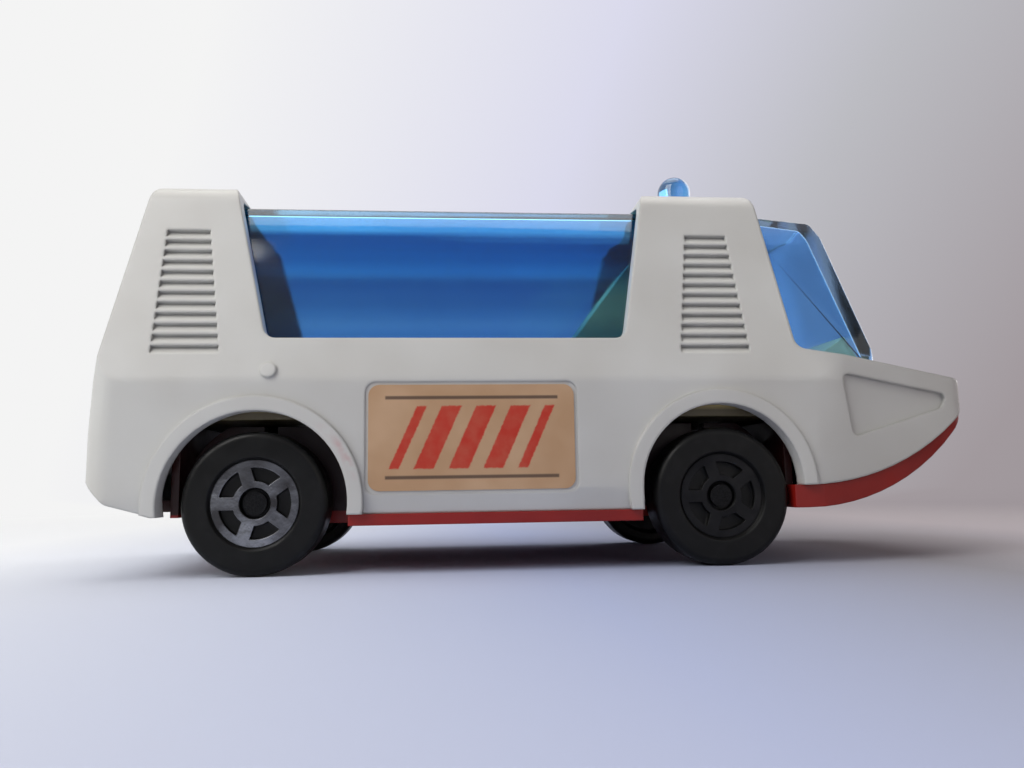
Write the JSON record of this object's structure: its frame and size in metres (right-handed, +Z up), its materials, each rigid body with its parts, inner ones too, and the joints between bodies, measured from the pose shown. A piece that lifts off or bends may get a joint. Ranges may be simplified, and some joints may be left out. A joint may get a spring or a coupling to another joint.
{
  "type": "toy ambulance",
  "caption": "Small die-cast toy ambulance van with a blue glazed canopy between two louvred arches, a beacon, a red base with an upswept lip, sprung spinning wheels and a lifting tailgate.",
  "frame": {"origin": "on the floor under the middle of the toy's box", "axes": "+X to the nose, +Y to the left side, +Z up"},
  "size_m": [0.07, 0.027, 0.0357],
  "materials": {
    "white_paint": "gloss stoved enamel on zinc casting",
    "red_paint": "gloss stoved enamel on zinc casting",
    "blue_tint": "clear blue polystyrene",
    "yellow_plastic": "satin moulded polystyrene",
    "black_plastic": "satin moulded black plastic",
    "silver_foil": "hot-stamped silver foil",
    "axle_wire": "drawn steel wire",
    "black_strip": "polypropylene strip",
    "printed_label": "printed gloss paper, aged"
  },
  "bodies": {
    "chassis": {"body": "white_paint", "base": "red_paint", "glazing": "blue_tint", "interior": "yellow_plastic", "front_spring": "black_strip", "rear_spring": "black_strip", "label_left": "printed_label", "label_right": "printed_label"},
    "tailgate_set": {"tailgate": "white_paint", "tailgate_window": "blue_tint"},
    "front_axle_set": {"front_axle": "axle_wire"},
    "rear_axle_set": {"rear_axle": "axle_wire"},
    "front_left_wheel": {"wheel_front_left": "black_plastic", "foil_front_left": "silver_foil"},
    "front_right_wheel": {"wheel_front_right": "black_plastic", "foil_front_right": "silver_foil"},
    "rear_left_wheel": {"wheel_rear_left": "black_plastic", "foil_rear_left": "silver_foil"},
    "rear_right_wheel": {"wheel_rear_right": "black_plastic", "foil_rear_right": "silver_foil"}
  },
  "joints": [
    {"name": "front_suspension", "type": "slide", "parent": "chassis", "child": "front_axle_set", "axis": [0, 0, 1], "range_m": [0, 0.0006], "stiffness_N_per_m": 800, "springref_m": -0.0005, "deforming": ["front_spring"]},
    {"name": "rear_suspension", "type": "slide", "parent": "chassis", "child": "rear_axle_set", "axis": [0, 0, 1], "range_m": [0, 0.0006], "stiffness_N_per_m": 800, "springref_m": -0.0005, "deforming": ["rear_spring"]},
    {"name": "wheel_front_left_spin", "type": "hinge", "parent": "front_axle_set", "child": "front_left_wheel", "pos_m": [0.0128, 0.0111, 0.0053], "axis": [0, 1, 0], "continuous": true},
    {"name": "wheel_front_right_spin", "type": "hinge", "parent": "front_axle_set", "child": "front_right_wheel", "pos_m": [0.0128, -0.0111, 0.0053], "axis": [0, 1, 0], "continuous": true},
    {"name": "wheel_rear_left_spin", "type": "hinge", "parent": "rear_axle_set", "child": "rear_left_wheel", "pos_m": [-0.0224, 0.0111, 0.0053], "axis": [0, 1, 0], "continuous": true},
    {"name": "wheel_rear_right_spin", "type": "hinge", "parent": "rear_axle_set", "child": "rear_right_wheel", "pos_m": [-0.0224, -0.0111, 0.0053], "axis": [0, 1, 0], "continuous": true},
    {"name": "tailgate_hinge", "type": "hinge", "parent": "chassis", "child": "tailgate_set", "pos_m": [-0.03145, 0, 0.02774], "axis": [0, 1, 0], "range_deg": [0, 75]}
  ]
}
